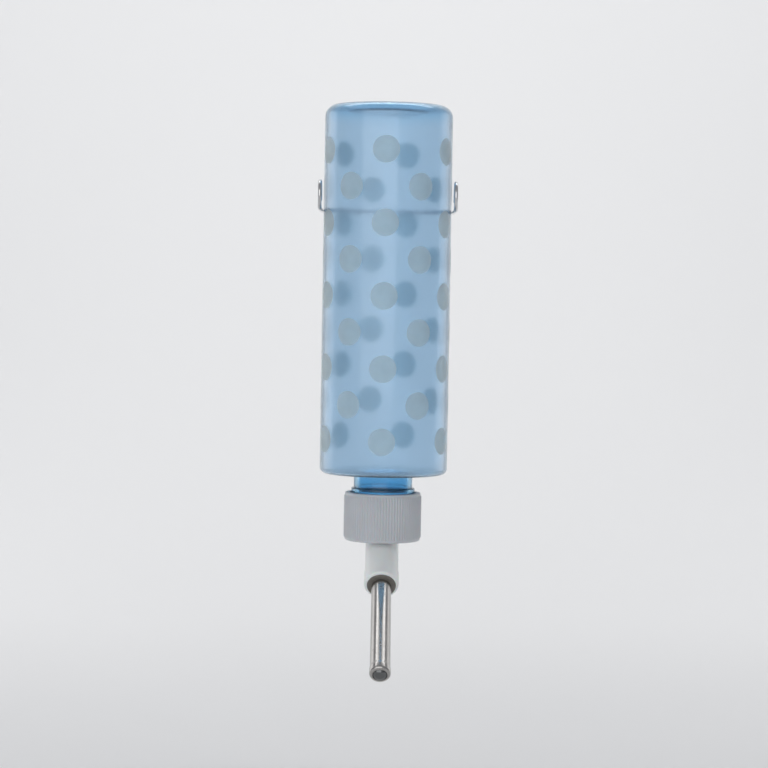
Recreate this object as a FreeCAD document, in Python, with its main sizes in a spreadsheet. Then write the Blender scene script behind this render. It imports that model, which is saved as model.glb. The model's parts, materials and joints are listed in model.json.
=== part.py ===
"""Small-animal water bottle that hangs upside down on a wire cage.

A threaded plastic bottle carries a ribbed screw cap.  The cap clamps a nozzle and its washer
against the bottle's mouth, and the nozzle holds a stainless tube whose rolled-in tip is closed by
two steel balls.  A bent wire goes round the back of the bottle, and its two open eyes hook over a
horizontal cage bar.

Row frame, millimetres: the origin is on the axis of that cage bar, midway between the eyes.
+X runs along the bar, -Y points into the cage (the way the spout points) and +Z is up.
"""
import FreeCAD, Part
import os
import Sketcher
from FreeCAD import Placement, Rotation, Vector

doc = FreeCAD.newDocument("water_bottle")

# ---------------------------------------------------------------- driving dimensions
DIMENSIONS = {
    # hanger wire
    "wire_radius": 0.9,
    "edge_round": 0.5,
    "eye_radius": 6.35,
    "eye_setback": 4.1,
    "eye_drop": 0.9,
    "eye_sweep": 290,
    "hanger_gap": 0.25,
    # bottle, hung mouth down; its axis stands this far behind the cage bar
    "axis_setback": 33,
    "bottle_radius": 31,
    "bottle_wall": 1.1,
    "base_level": 44,
    "base_round": 6,
    "recess_radius": 21,
    "recess_depth": 2.5,
    "shoulder_level": -134.7,
    "shoulder_round": 3,
    "neck_round": 1.4,
    "neck_radius": 14.25,
    "neck_bore": 12.2,
    "bead_radius": 15.45,
    "bead_top": -141.5,
    "bead_bottom": -143.5,
    "lip_level": -161,
    # the screw thread, the same ridge outside the neck and inside the cap
    "thread_pitch": 4,
    "thread_turns": 1.25,
    "thread_depth": 1.45,
    "thread_bite": 0.3,
    "thread_root_half": 0.95,
    "thread_crest_half": 0.45,
    "thread_start": -155,
    # screw cap
    "cap_radius": 18.4,
    "cap_bore": 16.05,
    "cap_top": -143.7,
    "cap_bottom": -167.2,
    "cap_plate": 2,
    "cap_hole": 12,
    "cap_edge": 0.7,
    "rib_count": 84,
    "rib_height": 0.45,
    "rib_half_width": 0.42,
    "rib_end": 1.1,
    # sealing washer between the bottle's lip and the nozzle's flange
    "washer_radius": 14.4,
    "washer_bore": 10,
    "washer_top": -161.1,
    "washer_bottom": -163.1,
    # nozzle: flange and hub in the cap, then a stub that turns forward into an arm
    "flange_top": -163.15,
    "flange_bottom": -165.15,
    "hub_radius": 11.6,
    "hub_bottom": -168,
    "turn_level": -169.2,
    "spout_droop": 34.5,
    "arm_radius": 8.05,
    "collar_radius": 8.35,
    "collar_length": 8.4,
    "arm_length": 30.5,
    "arm_end_round": 1.3,
    "water_way": 4.2,
    "water_bend_extra": 0.2,
    # dark rubber ring where the tube leaves the arm
    "seal_radius": 6.9,
    "seal_depth": 3,
    "seal_lip": 0.7,
    "fit_gap": 0.04,
    # drinking tube, measured along its own axis from the nozzle's turn
    # the hidden end is drawn down a little, so a shoulder meets the rubber ring
    "tube_radius": 4.75,
    "tube_wall": 0.5,
    "tube_seat_radius": 4.55,
    "tube_start": 13,
    "tube_shoulder": 31.6,
    "tube_end": 92.1,
    "tip_bead_radius": 4.95,
    "tip_bead_start": 4.2,
    "tip_roll": 1.1,
    "tip_opening": 3.4,
    "tip_edge": 0.3,
    "dimple_radius": 0.9,
    "dimple_reach": 3.55,
    "dimple_hollow": 0.7,
    "dimple_from_tip": 19.2,
    # the two balls
    "ball_radius": 4,
    "ball_from_tip": 2.5,
    "ball_gap": 0.1,
}

sheet = doc.addObject("Spreadsheet::Sheet", "dims")
for row, (alias, number) in enumerate(DIMENSIONS.items(), start=1):
    sheet.set(f"A{row}", alias)
    sheet.set(f"B{row}", str(number))
    sheet.setAlias(f"B{row}", alias)
doc.recompute()


def value(expression):
    """The number that an expression in the sheet's names stands for now."""
    return float(sheet.evalExpression(expression))


# ---------------------------------------------------------------- helpers
def new_body(label, y="0", z="0", tilt="0"):
    """A named body placed at (0, y, z) and turned about X, all bound to the sheet."""
    body = doc.addObject("PartDesign::Body", label)
    body.Label = label
    body.Placement = Placement(Vector(), Rotation(Vector(1, 0, 0), 1))
    body.setExpression("Placement.Base.y", y)
    body.setExpression("Placement.Base.z", z)
    body.setExpression("Placement.Rotation.Angle", tilt)
    return body


def new_sketch(body, name, role, offset=None):
    """A sketch on one of the body's own origin planes, shifted by a placement if one is given."""
    plane = next(f for f in body.Origin.OriginFeatures if f.Role == role)
    sketch = body.newObject("Sketcher::SketchObject", name)
    sketch.AttachmentSupport = [(plane, "")]
    sketch.MapMode = "FlatFace"
    if offset is not None:
        sketch.AttachmentOffset = offset
    return sketch


def fix_point(sketch, geometry, corner, x, y):
    """Hold one point of a sketch at sheet expressions x and y; None leaves that one free."""
    for kind, axis, place in (("DistanceX", -2, x), ("DistanceY", -1, y)):
        if place is None:
            continue
        if place == "0":
            sketch.addConstraint(Sketcher.Constraint("PointOnObject", geometry, corner, axis))
            continue
        rule = Sketcher.Constraint(kind, -1, 1, geometry, corner, value(place))
        number = sketch.addConstraint(rule)
        sketch.setExpression(f"Constraints[{number}]", place)


def draw_outline(sketch, corners):
    """A closed outline of straight lines; each corner is a pair of sheet expressions."""
    spots = [Vector(value(x), value(y), 0) for x, y in corners]
    lines = []
    for spot, following in zip(spots, spots[1:] + spots[:1]):
        lines.append(sketch.addGeometry(Part.LineSegment(spot, following)))
    for line, following in zip(lines, lines[1:] + lines[:1]):
        sketch.addConstraint(Sketcher.Constraint("Coincident", line, 2, following, 1))
    for line, (x, y) in zip(lines, corners):
        fix_point(sketch, line, 1, x, y)


def draw_circle(sketch, x, y, radius):
    """A circle whose centre and radius are sheet expressions."""
    circle = Part.Circle(Vector(value(x), value(y), 0), Vector(0, 0, 1), value(radius))
    index = sketch.addGeometry(circle)
    fix_point(sketch, index, 3, x, y)
    number = sketch.addConstraint(Sketcher.Constraint("Radius", index, value(radius)))
    sketch.setExpression(f"Constraints[{number}]", radius)


def revolve(body, name, corners):
    """A solid of revolution about the body's Z axis; corners are (radius, height) pairs."""
    sketch = new_sketch(body, name + "_profile", "XZ_Plane")
    draw_outline(sketch, corners)
    feature = body.newObject("PartDesign::Revolution", name)
    feature.Profile = sketch
    feature.ReferenceAxis = (sketch, ["V_Axis"])
    feature.Angle = 360
    doc.recompute()
    return feature


def full_circles(feature):
    """Name and curve of each full-circle edge of a feature; poles without a curve are skipped."""
    for number, edge in enumerate(feature.Shape.Edges, start=1):
        if edge.Degenerated or not edge.isClosed():
            continue
        if isinstance(edge.Curve, Part.Circle):
            yield f"Edge{number}", edge.Curve


def circle_edges(feature, radius, height):
    """Names of the full-circle edges of this radius at this height above the body's origin."""
    found = []
    for name, curve in full_circles(feature):
        if abs(curve.Radius - value(radius)) < 1e-4 and abs(curve.Center.z - value(height)) < 1e-4:
            found.append(name)
    if not found:
        raise ValueError(f"{feature.Label} has no circle of radius {radius} at {height}")
    return found


def round_edge(body, kind, name, feature, size, circles):
    """Fillet or Chamfer on circular edges, each given by its radius and height."""
    names = [edge for radius, height in circles for edge in circle_edges(feature, radius, height)]
    dress = body.newObject("PartDesign::" + kind, name)
    dress.Base = (feature, names)
    dress.setExpression("Radius" if kind == "Fillet" else "Size", size)
    doc.recompute()
    return dress


def add_thread(body, name, root, crest, start):
    """One helical ridge; root and crest are its radii, start its middle's height at +X."""
    sketch = new_sketch(body, name + "_profile", "XZ_Plane")
    draw_outline(sketch, [
        (root, f"{start} - dims.thread_root_half"),
        (crest, f"{start} - dims.thread_crest_half"),
        (crest, f"{start} + dims.thread_crest_half"),
        (root, f"{start} + dims.thread_root_half"),
    ])
    helix = body.newObject("PartDesign::AdditiveHelix", name)
    helix.Profile = sketch
    helix.ReferenceAxis = (sketch, ["V_Axis"])
    helix.Mode = "pitch-turns-angle"
    helix.setExpression("Pitch", "dims.thread_pitch")
    helix.setExpression("Turns", "dims.thread_turns")
    helix.LeftHanded = False
    doc.recompute()
    return helix


def polar_copies(body, name, features, axis_sketch, count, angle=360):
    """Repeat features round the body's Z axis."""
    pattern = body.newObject("PartDesign::PolarPattern", name)
    pattern.Originals = features
    pattern.Axis = (axis_sketch, ["V_Axis"])
    pattern.Angle = angle
    pattern.Occurrences = count
    body.Tip = pattern
    doc.recompute()
    return pattern


# ---------------------------------------------------------------- wire hanger
def make_hanger():
    """One wire: an eye, an arm, a half circle behind the bottle, an arm and the other eye."""
    body = new_body("wire_hanger")
    half_width = "dims.bottle_radius + dims.hanger_gap + dims.wire_radius"
    arm_level = "-dims.eye_drop - dims.eye_radius"
    reach = value(half_width)
    start_y = value("dims.eye_setback")
    turn_y = value("dims.axis_setback")

    section = new_sketch(body, "wire_section", "XZ_Plane")
    section.setExpression("AttachmentOffset.Base.z", "-dims.eye_setback")
    draw_circle(section, half_width, arm_level, "dims.wire_radius")
    axle = section.addGeometry(Part.LineSegment(Vector(0, -1, 0), Vector(reach, -1, 0)), True)
    fix_point(section, axle, 1, "0", "-dims.eye_drop")
    fix_point(section, axle, 2, half_width, "-dims.eye_drop")

    path = new_sketch(body, "wire_path", "XY_Plane")
    path.setExpression("AttachmentOffset.Base.z", arm_level)
    right = path.addGeometry(Part.LineSegment(Vector(reach, start_y, 0), Vector(reach, turn_y, 0)))
    half_circle = Part.Arc(Vector(reach, turn_y, 0), Vector(0, turn_y + reach, 0), Vector(-reach, turn_y, 0))
    back = path.addGeometry(half_circle)
    left = path.addGeometry(Part.LineSegment(Vector(-reach, turn_y, 0), Vector(-reach, start_y, 0)))
    path.addConstraint(Sketcher.Constraint("Coincident", right, 2, back, 1))
    path.addConstraint(Sketcher.Constraint("Coincident", back, 2, left, 1))
    fix_point(path, right, 1, half_width, "dims.eye_setback")
    fix_point(path, right, 2, half_width, "dims.axis_setback")
    fix_point(path, back, 3, "0", "dims.axis_setback")
    fix_point(path, left, 1, None, "dims.axis_setback")
    fix_point(path, left, 2, f"-({half_width})", "dims.eye_setback")
    doc.recompute()

    loop = body.newObject("PartDesign::AdditivePipe", "back_loop")
    loop.Profile = section
    loop.Spine = (path, ["Edge1", "Edge2", "Edge3"])
    doc.recompute()

    eye = body.newObject("PartDesign::Revolution", "eye")
    eye.Profile = section
    eye.ReferenceAxis = (section, ["Axis0"])
    eye.setExpression("Angle", "dims.eye_sweep")
    eye.Reversed = True
    doc.recompute()

    other = body.newObject("PartDesign::Mirrored", "other_eye")
    other.Originals = [eye]
    mirror_plane = next(f for f in body.Origin.OriginFeatures if f.Role == "YZ_Plane")
    other.MirrorPlane = (mirror_plane, [""])
    body.Tip = other
    doc.recompute()

    ends = []
    for number, face in enumerate(other.Shape.Faces, start=1):
        if isinstance(face.Surface, Part.Plane):
            ends.append(f"Face{number}")
    tips = body.newObject("PartDesign::Fillet", "wire_ends")
    tips.Base = (other, ends)
    tips.setExpression("Radius", "dims.edge_round")
    doc.recompute()
    return body


# ---------------------------------------------------------------- bottle
def make_bottle():
    """Thin blown shell with a pushed-in base, a flat shoulder and a threaded neck."""
    body = new_body("bottle", y="dims.axis_setback")
    inner_wall = "dims.bottle_radius - dims.bottle_wall"
    inner_base = "dims.base_level - dims.bottle_wall"
    inner_shoulder = "dims.shoulder_level + dims.bottle_wall"
    recess = "dims.base_level - dims.recess_depth"
    recess_inner = "dims.base_level - dims.recess_depth - dims.bottle_wall"
    recess_slope = "dims.recess_radius - dims.recess_depth"
    shell = revolve(body, "shell", [
        ("0", recess),
        (recess_slope, recess),
        ("dims.recess_radius", "dims.base_level"),
        ("dims.bottle_radius", "dims.base_level"),
        ("dims.bottle_radius", "dims.shoulder_level"),
        ("dims.neck_radius", "dims.shoulder_level"),
        ("dims.neck_radius", "dims.bead_top"),
        ("dims.bead_radius", "dims.bead_top"),
        ("dims.bead_radius", "dims.bead_bottom"),
        ("dims.neck_radius", "dims.bead_bottom"),
        ("dims.neck_radius", "dims.lip_level"),
        ("dims.neck_bore", "dims.lip_level"),
        ("dims.neck_bore", inner_shoulder),
        (inner_wall, inner_shoulder),
        (inner_wall, inner_base),
        ("dims.recess_radius", inner_base),
        (recess_slope, recess_inner),
        ("0", recess_inner),
    ])
    base = round_edge(body, "Fillet", "base_round", shell, "dims.base_round",
                      [("dims.bottle_radius", "dims.base_level")])
    base_inside = round_edge(body, "Fillet", "base_round_inside", base,
                             "dims.base_round - dims.bottle_wall", [(inner_wall, inner_base)])
    shoulder = round_edge(body, "Fillet", "shoulder_round", base_inside, "dims.shoulder_round",
                          [("dims.bottle_radius", "dims.shoulder_level")])
    shoulder_inside = round_edge(body, "Fillet", "shoulder_round_inside", shoulder,
                                 "dims.shoulder_round - dims.bottle_wall",
                                 [(inner_wall, inner_shoulder)])
    neck = round_edge(body, "Fillet", "neck_round", shoulder_inside, "dims.neck_round",
                      [("dims.neck_radius", "dims.shoulder_level"),
                       ("dims.neck_bore", inner_shoulder)])
    bead = round_edge(body, "Fillet", "bead_round", neck, "dims.edge_round",
                      [("dims.bead_radius", "dims.bead_top"),
                       ("dims.bead_radius", "dims.bead_bottom"),
                       ("dims.neck_bore", "dims.lip_level")])
    round_edge(body, "Fillet", "recess_round", bead, "dims.bottle_wall",
               [("dims.recess_radius", "dims.base_level"), (recess_slope, recess)])
    add_thread(body, "neck_thread", "dims.neck_radius - dims.thread_bite",
               "dims.neck_radius + dims.thread_depth", "dims.thread_start")
    return body


# ---------------------------------------------------------------- screw cap
def make_cap():
    """Ring with a plate across its lower end, fine grip ribs outside and a thread inside."""
    body = new_body("screw_cap", y="dims.axis_setback")
    plate_top = "dims.cap_bottom + dims.cap_plate"
    ring = revolve(body, "ring", [
        ("dims.cap_hole", "dims.cap_bottom"),
        ("dims.cap_radius", "dims.cap_bottom"),
        ("dims.cap_radius", "dims.cap_top"),
        ("dims.cap_bore", "dims.cap_top"),
        ("dims.cap_bore", plate_top),
        ("dims.cap_hole", plate_top),
    ])
    round_edge(body, "Chamfer", "cap_edges", ring, "dims.cap_edge",
               [("dims.cap_radius", "dims.cap_bottom"), ("dims.cap_radius", "dims.cap_top")])
    add_thread(body, "cap_thread", "dims.cap_bore + dims.thread_bite",
               "dims.cap_bore - dims.thread_depth", "dims.thread_start - dims.thread_pitch / 2")

    rib_sketch = new_sketch(body, "rib_section", "XY_Plane")
    rib_sketch.setExpression("AttachmentOffset.Base.z", "dims.cap_bottom + dims.rib_end")
    draw_outline(rib_sketch, [
        ("dims.cap_radius - dims.rib_height", "-dims.rib_half_width"),
        ("dims.cap_radius + dims.rib_height", "-dims.rib_half_width / 3"),
        ("dims.cap_radius + dims.rib_height", "dims.rib_half_width / 3"),
        ("dims.cap_radius - dims.rib_height", "dims.rib_half_width"),
    ])
    rib = body.newObject("PartDesign::Pad", "rib")
    rib.Profile = rib_sketch
    rib.setExpression("Length", "dims.cap_top - dims.cap_bottom - 2 * dims.rib_end")
    doc.recompute()
    polar_copies(body, "grip_ribs", [rib], ring.Profile[0], int(DIMENSIONS["rib_count"]))
    return body


# ---------------------------------------------------------------- sealing washer
def make_washer():
    """Flat silicone ring."""
    body = new_body("sealing_washer", y="dims.axis_setback")
    revolve(body, "washer", [
        ("dims.washer_bore", "dims.washer_bottom"),
        ("dims.washer_radius", "dims.washer_bottom"),
        ("dims.washer_radius", "dims.washer_top"),
        ("dims.washer_bore", "dims.washer_top"),
    ])
    return body


# ---------------------------------------------------------------- nozzle
def make_nozzle():
    """Flange, hub and a round knuckle, with the arm that holds the tube; hollow all through."""
    body = new_body("nozzle_elbow", y="dims.axis_setback", z="dims.turn_level")
    flange_top = "dims.flange_top - dims.turn_level"
    flange_bottom = "dims.flange_bottom - dims.turn_level"
    hub_bottom = "dims.hub_bottom - dims.turn_level"
    turned = revolve(body, "flange_and_hub", [
        ("0", flange_top),
        ("dims.washer_radius", flange_top),
        ("dims.washer_radius", flange_bottom),
        ("dims.hub_radius", flange_bottom),
        ("dims.hub_radius", hub_bottom),
        ("0", hub_bottom),
    ])
    round_edge(body, "Fillet", "hub_round", turned, "dims.edge_round",
               [("dims.hub_radius", hub_bottom)])

    knuckle = body.newObject("PartDesign::AdditiveSphere", "knuckle")
    knuckle.setExpression("Radius", "dims.arm_radius")
    doc.recompute()

    droop = Rotation(Vector(1, 0, 0), 90 + DIMENSIONS["spout_droop"])
    arm_frame = Placement(Vector(), droop)

    def arm_section(name, radius, start):
        """A circle square to the spout's axis, at a distance from the turn."""
        along = Placement(Vector(0, 0, value(start)), Rotation())
        sketch = new_sketch(body, name + "_section", "XY_Plane", arm_frame.multiply(along))
        draw_circle(sketch, "0", "0", radius)
        return sketch

    def arm_pad(name, radius, start, length):
        """A round boss along the spout's axis."""
        section = arm_section(name, radius, start)
        pad = body.newObject("PartDesign::Pad", name)
        pad.Profile = section
        pad.setExpression("Length", length)
        doc.recompute()
        return pad

    def arm_bore(name, radius, start, length):
        """A round hole along the spout's axis, cut away from the turn."""
        before = body.Shape.Volume
        section = arm_section(name, radius, start)
        pocket = body.newObject("PartDesign::Pocket", name)
        pocket.Profile = section
        pocket.Reversed = True
        pocket.setExpression("Length", length)
        doc.recompute()
        if body.Shape.Volume >= before:
            raise ValueError(name + " cuts nothing")

    arm_pad("arm", "dims.arm_radius", "0", "dims.arm_length - dims.collar_length / 2")
    collar = arm_pad("collar", "dims.collar_radius", "dims.arm_length - dims.collar_length",
                     "dims.collar_length")
    outward = arm_frame.Rotation.multVec(Vector(0, 0, 1))
    rims = [name for name, curve in full_circles(collar)
            if abs(outward.dot(curve.Center) - value("dims.arm_length")) < 1e-3]
    end_round = body.newObject("PartDesign::Fillet", "arm_end_round")
    end_round.Base = (collar, rims)
    end_round.setExpression("Radius", "dims.arm_end_round")
    doc.recompute()

    arm_bore("seal_seat", "dims.seal_radius + dims.fit_gap",
             "dims.arm_length - dims.seal_depth", "dims.seal_depth + 1")
    arm_bore("tube_socket", "dims.tube_seat_radius + dims.fit_gap",
             "dims.tube_start", "dims.arm_length - dims.tube_start + 1")
    arm_bore("arm_water_way", "dims.water_way", "0", "dims.tube_start + 1")

    def cut_upwards(name, radius, level, length):
        """A round cut about the bottle's axis, from a level upwards."""
        sketch = new_sketch(body, name + "_section", "XY_Plane")
        sketch.setExpression("AttachmentOffset.Base.z", level)
        draw_circle(sketch, "0", "0", radius)
        pocket = body.newObject("PartDesign::Pocket", name)
        pocket.Profile = sketch
        pocket.Reversed = True
        pocket.setExpression("Length", length)
        doc.recompute()

    cut_upwards("flange_face", "dims.washer_radius", flange_top, "dims.arm_radius")
    cut_upwards("inlet", "dims.water_way", "0", flange_top + " + 1")
    bend = body.newObject("PartDesign::SubtractiveSphere", "water_bend")
    bend.setExpression("Radius", "dims.water_way + dims.water_bend_extra")
    doc.recompute()
    return body


# ---------------------------------------------------------------- pieces on the spout's axis
def spout_body(label):
    """A body whose origin is the nozzle's turn and whose Z axis runs out along the spout."""
    return new_body(label, y="dims.axis_setback", z="dims.turn_level",
                    tilt="90 + dims.spout_droop")


def make_seal():
    """Rubber ring round the tube, standing a little out of the arm's end."""
    body = spout_body("tube_seal")
    bore = "dims.tube_seat_radius + dims.fit_gap"
    inner_end = "dims.arm_length - dims.seal_depth + dims.fit_gap"
    outer_end = "dims.arm_length + dims.seal_lip"
    ring = revolve(body, "seal_ring", [
        (bore, inner_end),
        ("dims.seal_radius", inner_end),
        ("dims.seal_radius", outer_end),
        (bore, outer_end),
    ])
    round_edge(body, "Fillet", "seal_round", ring, "dims.seal_lip - dims.fit_gap",
               [("dims.seal_radius", outer_end)])
    return body


def make_tube():
    """Thin tube with a slight bead, a rolled-in tip and three inward dimples behind the balls."""
    body = spout_body("spout_tube")
    bore = "dims.tube_radius - dims.tube_wall"
    bead_start = "dims.tube_end - dims.tip_bead_start"
    wall = revolve(body, "tube_wall", [
        (bore, "dims.tube_start"),
        ("dims.tube_seat_radius", "dims.tube_start"),
        ("dims.tube_seat_radius", "dims.tube_shoulder"),
        ("dims.tube_radius", "dims.tube_shoulder"),
        ("dims.tube_radius", bead_start + " - 1"),
        ("dims.tip_bead_radius", bead_start),
        ("dims.tip_bead_radius", "dims.tube_end"),
        ("dims.tip_opening", "dims.tube_end"),
        ("dims.tip_opening", "dims.tube_end - dims.tip_edge"),
        (bore, "dims.tube_end - dims.tip_edge - dims.tip_roll"),
    ])
    round_edge(body, "Fillet", "tip_round", wall, "dims.tip_roll",
               [("dims.tip_bead_radius", "dims.tube_end")])

    turn = Rotation(Vector(0, 1, 0), -60)
    stud_place = Placement(Vector(), turn).multiply(
        Placement(Vector(0, 0, value("dims.dimple_reach")), Rotation()))
    stud_sketch = new_sketch(body, "dimple_stud_section", "XZ_Plane", stud_place)
    dimple_level = "dims.tube_end - dims.dimple_from_tip"
    draw_circle(stud_sketch, "0", dimple_level, "dims.dimple_radius")
    stud = body.newObject("PartDesign::Pad", "dimple_stud")
    stud.Profile = stud_sketch
    stud.setExpression("Length", "dims.tube_radius - dims.dimple_reach - dims.tube_wall / 2")
    doc.recompute()

    hollow_place = Placement(Vector(), turn).multiply(
        Placement(Vector(0, 0, value("dims.tube_radius + 1")), Rotation()))
    hollow_sketch = new_sketch(body, "dimple_hollow_section", "XZ_Plane", hollow_place)
    draw_circle(hollow_sketch, "0", dimple_level, "dims.dimple_hollow")
    hollow = body.newObject("PartDesign::Pocket", "dimple_hollow")
    hollow.Profile = hollow_sketch
    hollow.setExpression("Length", "1 + dims.tube_wall")
    doc.recompute()

    polar_copies(body, "dimples", [stud, hollow], wall.Profile[0], 3, 120)
    return body


def make_ball(label, distance_from_tip):
    """A plain steel ball on the spout's axis."""
    ball = doc.addObject("Part::Sphere", label)
    ball.Label = label
    ball.setExpression("Radius", "dims.ball_radius")
    along = f"(dims.tube_end - {distance_from_tip})"
    ball.Placement = Placement(Vector(), Rotation(Vector(1, 0, 0), 1))
    ball.setExpression("Placement.Base.y",
                       f"dims.axis_setback - {along} * cos(dims.spout_droop * 1 deg)")
    ball.setExpression("Placement.Base.z",
                       f"dims.turn_level - {along} * sin(dims.spout_droop * 1 deg)")
    ball.setExpression("Placement.Rotation.Angle", "90 + dims.spout_droop")
    doc.recompute()
    return ball


# ---------------------------------------------------------------- build, check and write
pieces = [
    make_hanger(),
    make_bottle(),
    make_cap(),
    make_washer(),
    make_nozzle(),
    make_seal(),
    make_tube(),
    make_ball("tip_ball", "dims.ball_from_tip"),
    make_ball("back_ball", "(dims.ball_from_tip + 2 * dims.ball_radius + dims.ball_gap)"),
]
doc.recompute()

for item in doc.Objects:
    if "Invalid" in item.State or "Error" in item.State:
        raise RuntimeError(f"{item.Label} failed: {item.State}")
for piece in pieces:
    shape = piece.Shape
    if shape.isNull() or not shape.isValid() or len(shape.Solids) != 1:
        raise RuntimeError(f"{piece.Label} isn't one valid solid")

os.makedirs("parts", exist_ok=True)
for piece in pieces:
    box = piece.Shape.BoundBox
    print(f"{piece.Label:15s} {piece.Shape.Volume:10.1f} mm3   x {box.XMin:.2f}..{box.XMax:.2f}"
          f"   y {box.YMin:.2f}..{box.YMax:.2f}   z {box.ZMin:.2f}..{box.ZMax:.2f}")
    piece.Shape.exportStep(f"parts/{piece.Label}.step")
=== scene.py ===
# %% [markdown]
# # A water bottle for a rabbit cage
# This lesson finishes a hanging water bottle in Blender. The design already exists as a set of
# exact engineering solids, each tied to a moving body. Those solids fix every place and size. The
# first step loads them and reads the main sizes off them. The smaller sizes of a piece that is
# modelled again here are repeated in its own cell.

# %% Load the frame and keep its box
import json
import math
import bpy
from mathutils import Matrix, Vector


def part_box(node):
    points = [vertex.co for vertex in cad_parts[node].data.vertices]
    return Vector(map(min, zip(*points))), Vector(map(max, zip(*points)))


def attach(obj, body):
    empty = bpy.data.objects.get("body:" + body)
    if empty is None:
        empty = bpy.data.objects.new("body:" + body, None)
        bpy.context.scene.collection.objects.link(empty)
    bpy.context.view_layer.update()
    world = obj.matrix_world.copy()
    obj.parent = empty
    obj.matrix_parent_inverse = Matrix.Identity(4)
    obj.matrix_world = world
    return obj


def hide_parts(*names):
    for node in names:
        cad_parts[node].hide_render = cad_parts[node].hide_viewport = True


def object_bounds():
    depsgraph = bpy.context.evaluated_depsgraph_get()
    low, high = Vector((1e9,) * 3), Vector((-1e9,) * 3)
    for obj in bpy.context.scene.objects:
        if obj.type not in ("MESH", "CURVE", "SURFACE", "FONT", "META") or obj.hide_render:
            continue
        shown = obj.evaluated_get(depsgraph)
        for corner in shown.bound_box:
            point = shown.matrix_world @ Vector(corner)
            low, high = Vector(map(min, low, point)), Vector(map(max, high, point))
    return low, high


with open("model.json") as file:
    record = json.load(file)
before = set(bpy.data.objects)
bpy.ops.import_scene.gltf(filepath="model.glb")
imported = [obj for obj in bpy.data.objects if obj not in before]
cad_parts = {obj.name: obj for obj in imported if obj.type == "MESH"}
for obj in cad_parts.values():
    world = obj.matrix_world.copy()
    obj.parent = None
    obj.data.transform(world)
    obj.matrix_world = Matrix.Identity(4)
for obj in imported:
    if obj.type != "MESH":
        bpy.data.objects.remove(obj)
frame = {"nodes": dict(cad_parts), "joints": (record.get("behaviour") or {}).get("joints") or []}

cad_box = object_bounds()

# %% Measure the pieces
MM = 0.001
bottle_low, bottle_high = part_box("bottle")
cap_low, cap_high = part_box("screw_cap")
wire_low, wire_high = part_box("wire_hanger")
ball_low, ball_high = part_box("tip_ball")

AXIS_Y = (cap_low.y + cap_high.y) / 2
BOTTLE_AXIS = Vector((0, AXIS_Y, 0))
BOTTLE_RADIUS = (bottle_high.x - bottle_low.x) / 2
push = next(j for j in frame["joints"] if j["name"] == "ball_push")
SPOUT_OUT = -Vector(push["axis"]).normalized()
ball_centre = (ball_low + ball_high) / 2
TURN = ball_centre + SPOUT_OUT * ((AXIS_Y - ball_centre.y) / SPOUT_OUT.y)


def reach_along(node):
    """Nearest and farthest distance of a node from the nozzle's turn, along the spout."""
    distances = [(v.co - TURN).dot(SPOUT_OUT) for v in frame["nodes"][node].data.vertices]
    return min(distances), max(distances)


tube_start, tube_end = reach_along("spout_tube")
seal_end = reach_along("tube_seal")[1]
print("the turn is at", tuple(round(c, 4) for c in TURN))
print("the spout reaches", round(tube_end, 4), "m from it")

# %% [markdown]
# ## The camera
# The bottle is looked at from far away with a long lens, from a little above the middle of its
# height, so its sides stay almost parallel. The camera tips down by two degrees to hold the whole
# bottle, and rolls by about one degree, because the bottle hangs slightly out of true.

# %% Camera
camera_data = bpy.data.cameras.new("camera")
camera = bpy.data.objects.new("camera", camera_data)
bpy.context.scene.collection.objects.link(camera)
CAMERA_DISTANCE = 1.15
camera_data.sensor_width = 36
camera_data.lens = 110.85
camera_data.clip_end = 20
camera.location = (-1.07 * MM, AXIS_Y - CAMERA_DISTANCE, -47.7 * MM)
camera.rotation_euler = (math.radians(90 - 2.16), math.radians(-0.97), 0)
bpy.context.scene.camera = camera
print("lens", round(camera_data.lens, 1), "mm")

# %% [markdown]
# ## Floor and backdrop
# A hanging bottle needs something pale behind it, because its plastic is see-through and shows
# whatever is there. One sheet that lies flat and then curves up, as in a studio, has no
# corner line. It is a plane whose rear edge is extruded upwards and whose fold is then bevelled.


# %% Selecting by place
def only(obj):
    """Leave edit mode, deselect everything and make one object active."""
    if bpy.context.mode != "OBJECT":
        bpy.ops.object.mode_set(mode="OBJECT")
    bpy.ops.object.select_all(action="DESELECT")
    obj.select_set(True)
    bpy.context.view_layer.objects.active = obj


def edit(obj, vertex_test):
    """Enter edit mode with just the vertices that pass the test selected."""
    only(obj)
    bpy.ops.object.mode_set(mode="EDIT")
    bpy.ops.mesh.select_mode(type="VERT")
    bpy.ops.mesh.select_all(action="DESELECT")
    bpy.ops.object.mode_set(mode="OBJECT")
    for vertex in obj.data.vertices:
        vertex.select = bool(vertex_test(vertex.co))
    bpy.ops.object.mode_set(mode="EDIT")
    bpy.ops.mesh.select_mode(type="VERT")


def new_primitive(name, add, **settings):
    """Add one mesh primitive with nothing else selected, and name it."""
    if bpy.context.mode != "OBJECT":
        bpy.ops.object.mode_set(mode="OBJECT")
    bpy.ops.object.select_all(action="DESELECT")
    add(**settings)
    obj = bpy.context.active_object
    obj.name = name
    obj.data.name = name
    return obj


# %% Sweep
FLOOR_GAP = 0.05
FLOOR_SIZE = 6.0
floor_z = cad_box[0][2] - FLOOR_GAP
sweep = new_primitive("studio_sweep", bpy.ops.mesh.primitive_plane_add, size=FLOOR_SIZE,
                      location=(0, -1.6, floor_z))
bpy.ops.object.transform_apply(location=True, rotation=True, scale=True)
rear_y = max(v.co.y for v in sweep.data.vertices)
edit(sweep, lambda co: co.y > rear_y - 0.01)
bpy.ops.mesh.extrude_region_move(TRANSFORM_OT_translate={"value": (0, 0, 4)})
edit(sweep, lambda co: co.y > rear_y - 0.01 and co.z < floor_z + 0.01)
bpy.ops.mesh.bevel(offset=0.9, segments=24, affect="EDGES")
only(sweep)
bpy.ops.object.shade_smooth()
print("floor at", round(floor_z, 3))

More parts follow.
